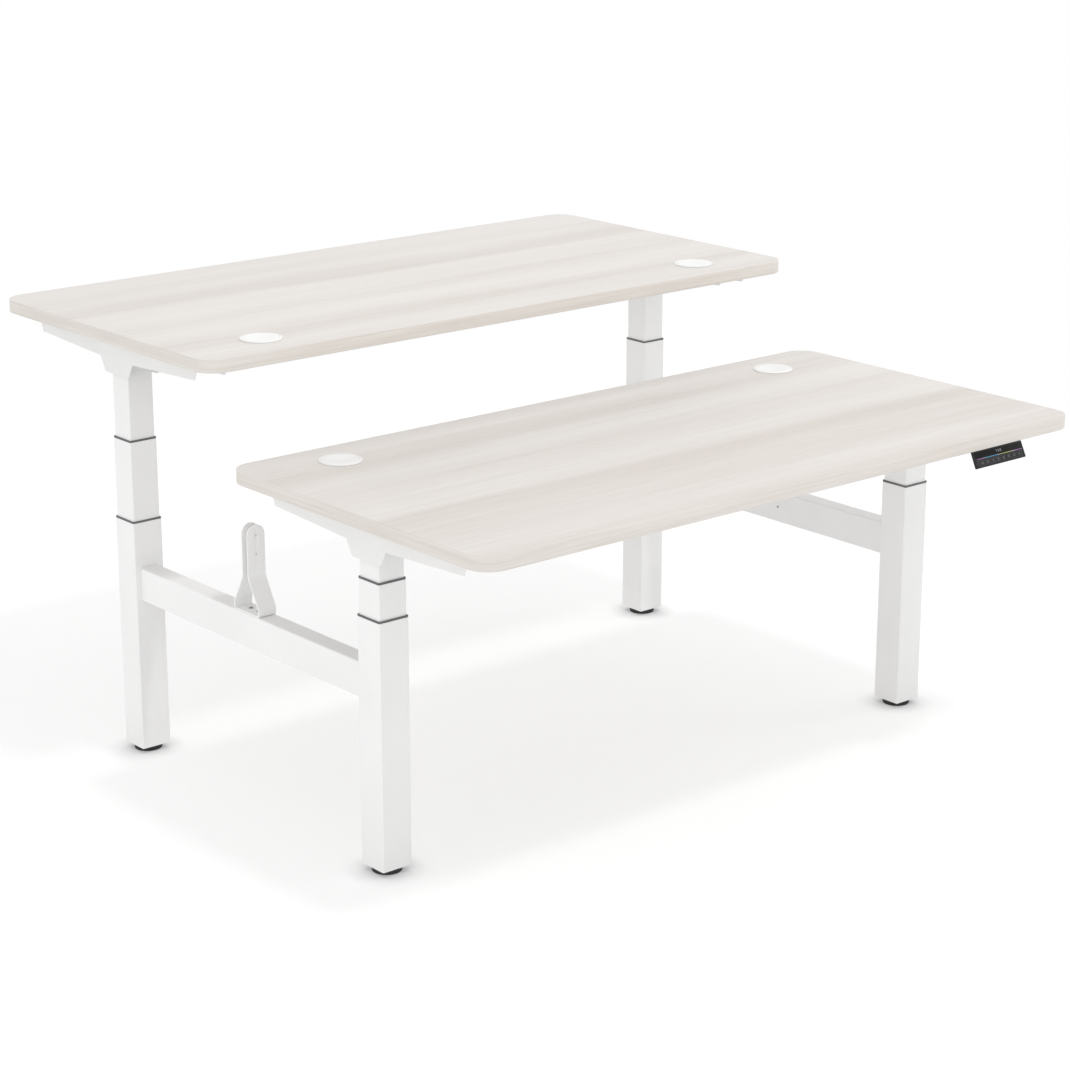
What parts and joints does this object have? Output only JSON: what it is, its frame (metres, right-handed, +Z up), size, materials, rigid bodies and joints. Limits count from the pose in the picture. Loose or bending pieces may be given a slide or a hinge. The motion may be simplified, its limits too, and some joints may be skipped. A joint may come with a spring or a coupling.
{
  "type": "benching desk",
  "caption": "Back-to-back electric sit-stand benching desk: pale ash worktops on white telescopic columns, joined by end beams that carry screen brackets, with handsets and cable grommets.",
  "frame": {"origin": "On the floor, at the middle of the shared frame.", "axes": "+Z up, X along the worktops, +Y from the front desk to the rear desk; the front desk's user sits on the -Y side and the rear desk's on the +Y side."},
  "size_m": [1.6, 1.6874, 0.9418],
  "materials": {
    "powder_coat": "fine satin white powder coat",
    "ash_laminate": "pale ash-grain laminate on board, grain along the worktop",
    "glide_collar": "matt dark grey moulded plastic",
    "black_foot": "matt black moulded plastic",
    "white_plastic": "satin white moulded plastic",
    "handset_gloss": "glossy black plastic",
    "key_mat": "matt dark grey silicone key mat",
    "black_housing": "fine-textured black moulded plastic",
    "drive_housing": "die-cast housing",
    "spindle_steel": "rolled bright steel"
  },
  "bodies": {
    "frame": {"outer_tube_front_left": "powder_coat", "outer_tube_front_right": "powder_coat", "outer_tube_rear_left": "powder_coat", "outer_tube_rear_right": "powder_coat", "outer_collar_front_left": "glide_collar", "outer_collar_front_right": "glide_collar", "outer_collar_rear_left": "glide_collar", "outer_collar_rear_right": "glide_collar", "end_beam_left": "powder_coat", "end_beam_right": "powder_coat", "screen_bracket_left": "powder_coat", "screen_bracket_right": "powder_coat"},
    "front_desk": {"worktop_front": "ash_laminate", "cross_rail_front_user": "powder_coat", "cross_rail_front_back": "powder_coat", "control_box_front": "black_housing", "handset_front": "handset_gloss", "side_bracket_front_left": "powder_coat", "side_bracket_front_right": "powder_coat", "gear_motor_front_left": "drive_housing", "gear_motor_front_right": "drive_housing", "inner_tube_front_left": "powder_coat", "inner_tube_front_right": "powder_coat", "grommet_ring_front_left": "white_plastic", "grommet_ring_front_right": "white_plastic"},
    "rear_desk": {"worktop_rear": "ash_laminate", "cross_rail_rear_user": "powder_coat", "cross_rail_rear_back": "powder_coat", "control_box_rear": "black_housing", "handset_rear": "handset_gloss", "side_bracket_rear_left": "powder_coat", "side_bracket_rear_right": "powder_coat", "gear_motor_rear_left": "drive_housing", "gear_motor_rear_right": "drive_housing", "inner_tube_rear_left": "powder_coat", "inner_tube_rear_right": "powder_coat", "grommet_ring_rear_left": "white_plastic", "grommet_ring_rear_right": "white_plastic"},
    "middle_stage_front_left": {"middle_tube_front_left": "powder_coat", "middle_collar_front_left": "glide_collar"},
    "middle_stage_front_right": {"middle_tube_front_right": "powder_coat", "middle_collar_front_right": "glide_collar"},
    "middle_stage_rear_left": {"middle_tube_rear_left": "powder_coat", "middle_collar_rear_left": "glide_collar"},
    "middle_stage_rear_right": {"middle_tube_rear_right": "powder_coat", "middle_collar_rear_right": "glide_collar"},
    "spindle_front_left": {"lifting_spindle_front_left": "spindle_steel"},
    "spindle_front_right": {"lifting_spindle_front_right": "spindle_steel"},
    "spindle_rear_left": {"lifting_spindle_rear_left": "spindle_steel"},
    "spindle_rear_right": {"lifting_spindle_rear_right": "spindle_steel"},
    "foot_front_left": {"levelling_foot_front_left": "black_foot"},
    "foot_front_right": {"levelling_foot_front_right": "black_foot"},
    "foot_rear_left": {"levelling_foot_rear_left": "black_foot"},
    "foot_rear_right": {"levelling_foot_rear_right": "black_foot"},
    "keypad_front": {"handset_keypad_front": "key_mat"},
    "keypad_rear": {"handset_keypad_rear": "key_mat"},
    "cap_front_left": {"grommet_cap_front_left": "white_plastic"},
    "cap_front_right": {"grommet_cap_front_right": "white_plastic"},
    "cap_rear_left": {"grommet_cap_rear_left": "white_plastic"},
    "cap_rear_right": {"grommet_cap_rear_right": "white_plastic"}
  },
  "joints": [
    {"name": "front_lift", "type": "slide", "parent": "frame", "child": "front_desk", "axis": [0, 0, 1], "range_m": [-0.107, 0.543]},
    {"name": "rear_lift", "type": "slide", "parent": "frame", "child": "rear_desk", "axis": [0, 0, 1], "range_m": [-0.307, 0.343]},
    {"name": "middle_rise_front_left", "type": "slide", "parent": "frame", "child": "middle_stage_front_left", "axis": [0, 0, 1], "range_m": [-0.0535, 0.2715]},
    {"name": "middle_rise_front_right", "type": "slide", "parent": "frame", "child": "middle_stage_front_right", "axis": [0, 0, 1], "range_m": [-0.0535, 0.2715]},
    {"name": "middle_rise_rear_left", "type": "slide", "parent": "frame", "child": "middle_stage_rear_left", "axis": [0, 0, 1], "range_m": [-0.1535, 0.1715]},
    {"name": "middle_rise_rear_right", "type": "slide", "parent": "frame", "child": "middle_stage_rear_right", "axis": [0, 0, 1], "range_m": [-0.1535, 0.1715]},
    {"name": "spindle_turn_front_left", "type": "hinge", "parent": "front_desk", "child": "spindle_front_left", "pos_m": [-0.7235, -0.428, 0.4], "axis": [0, 0, 1], "range_deg": [-2410, 12220]},
    {"name": "spindle_turn_front_right", "type": "hinge", "parent": "front_desk", "child": "spindle_front_right", "pos_m": [0.7235, -0.428, 0.4], "axis": [0, 0, 1], "range_deg": [-2410, 12220]},
    {"name": "spindle_turn_rear_left", "type": "hinge", "parent": "rear_desk", "child": "spindle_rear_left", "pos_m": [-0.7235, 0.428, 0.6], "axis": [0, 0, 1], "range_deg": [-6910, 7720]},
    {"name": "spindle_turn_rear_right", "type": "hinge", "parent": "rear_desk", "child": "spindle_rear_right", "pos_m": [0.7235, 0.428, 0.6], "axis": [0, 0, 1], "range_deg": [-6910, 7720]},
    {"name": "foot_level_front_left", "type": "slide", "parent": "frame", "child": "foot_front_left", "axis": [0, 0, -1], "range_m": [0, 0.012]},
    {"name": "foot_level_front_right", "type": "slide", "parent": "frame", "child": "foot_front_right", "axis": [0, 0, -1], "range_m": [0, 0.012]},
    {"name": "foot_level_rear_left", "type": "slide", "parent": "frame", "child": "foot_rear_left", "axis": [0, 0, -1], "range_m": [0, 0.012]},
    {"name": "foot_level_rear_right", "type": "slide", "parent": "frame", "child": "foot_rear_right", "axis": [0, 0, -1], "range_m": [0, 0.012]},
    {"name": "keypad_press_front", "type": "slide", "parent": "front_desk", "child": "keypad_front", "axis": [0, 0.8921, -0.4518], "range_m": [0, 0.0008], "stiffness_N_per_m": 2500},
    {"name": "keypad_press_rear", "type": "slide", "parent": "rear_desk", "child": "keypad_rear", "axis": [0, -0.8921, -0.4518], "range_m": [0, 0.0008], "stiffness_N_per_m": 2500},
    {"name": "cap_lift_front_left", "type": "slide", "parent": "front_desk", "child": "cap_front_left", "axis": [0, 0, 1], "range_m": [0, 0.06]},
    {"name": "cap_lift_front_right", "type": "slide", "parent": "front_desk", "child": "cap_front_right", "axis": [0, 0, 1], "range_m": [0, 0.06]},
    {"name": "cap_lift_rear_left", "type": "slide", "parent": "rear_desk", "child": "cap_rear_left", "axis": [0, 0, 1], "range_m": [0, 0.06]},
    {"name": "cap_lift_rear_right", "type": "slide", "parent": "rear_desk", "child": "cap_rear_right", "axis": [0, 0, 1], "range_m": [0, 0.06]}
  ],
  "couplings": [
    {"joint": "middle_rise_front_left", "follows": "front_lift", "ratio": 0.5},
    {"joint": "middle_rise_front_right", "follows": "front_lift", "ratio": 0.5},
    {"joint": "middle_rise_rear_left", "follows": "rear_lift", "ratio": 0.5},
    {"joint": "middle_rise_rear_right", "follows": "rear_lift", "ratio": 0.5},
    {"joint": "spindle_turn_front_left", "follows": "front_lift", "rad_per_m": 392.7},
    {"joint": "spindle_turn_front_right", "follows": "front_lift", "rad_per_m": 392.7},
    {"joint": "spindle_turn_rear_left", "follows": "rear_lift", "rad_per_m": 392.7},
    {"joint": "spindle_turn_rear_right", "follows": "rear_lift", "rad_per_m": 392.7}
  ]
}
